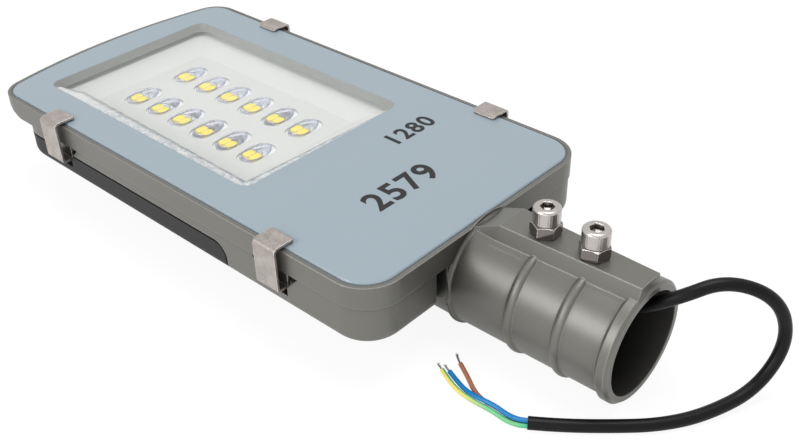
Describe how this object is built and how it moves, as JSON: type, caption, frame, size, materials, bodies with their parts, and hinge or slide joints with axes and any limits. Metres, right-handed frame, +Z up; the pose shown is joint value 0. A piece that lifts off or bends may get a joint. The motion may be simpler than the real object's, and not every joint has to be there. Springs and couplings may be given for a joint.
{
  "type": "led street light head",
  "caption": "Flat street light head with a glass window over lensed light sources, a ribbed pole socket with clamp screws, and a short supply lead.",
  "frame": {"origin": "on the ground under the middle of the head as it lies on its back, cords left out", "axes": "+Z up through the glass, +X along the length to the mouth of the pole socket, +Y across the width; the head is even about the XZ plane"},
  "size_m": [0.4408, 0.1744, 0.08],
  "materials": {
    "cast_housing": "satin powder coat on die-cast aluminium",
    "dark_casting": "dark satin powder coat on die-cast aluminium",
    "clear_glass": "toughened flat glass with a printed border",
    "seal": "black silicone",
    "spring_steel": "stainless spring strip",
    "tray": "white reflective plastic",
    "pad": "grey thermal sheet",
    "board": "white solder mask on an aluminium board",
    "phosphor": "yellow phosphor on the light sources",
    "lens": "clear moulded lens",
    "screws": "zinc plated steel",
    "bolts": "bright plated steel",
    "driver_case": "white driver case",
    "gland": "black nylon",
    "jacket": "black rubber jacket",
    "brown_core": "brown insulation",
    "blue_core": "blue insulation",
    "green_yellow_core": "green and yellow insulation",
    "red_core": "red insulation",
    "tinned_copper": "tinned copper strands"
  },
  "bodies": {
    "root": {"housing": "cast_housing", "heat_sink": "dark_casting", "cover_glass": "clear_glass", "glass_gasket": "seal", "reflector": "tray", "thermal_pad": "pad", "led_board": "board", "led_chips": "phosphor", "board_screws": "screws", "sink_screws": "screws", "led_driver": "driver_case", "driver_screws": "screws", "gland_body": "gland", "gland_locknut": "gland", "gland_nut": "gland", "gland_seal": "seal", "supply_lead": "jacket", "driver_lead": "jacket", "core_brown": "brown_core", "core_blue": "blue_core", "core_green_yellow": "green_yellow_core", "dc_lead_red": "red_core", "dc_lead_black": "jacket", "glass_clip_1": "spring_steel", "glass_clip_2": "spring_steel", "glass_clip_3": "spring_steel", "glass_clip_4": "spring_steel", "lens_01": "lens", "lens_02": "lens", "lens_03": "lens", "lens_04": "lens", "lens_05": "lens", "lens_06": "lens", "lens_07": "lens", "lens_08": "lens", "lens_09": "lens", "lens_10": "lens", "lens_11": "lens", "lens_12": "lens", "clamp_bolt_1": "bolts", "lock_nut_1": "bolts", "clamp_bolt_2": "bolts", "lock_nut_2": "bolts", "conductor_brown": "tinned_copper", "conductor_blue": "tinned_copper", "conductor_green_yellow": "tinned_copper"}
  },
  "joints": []
}
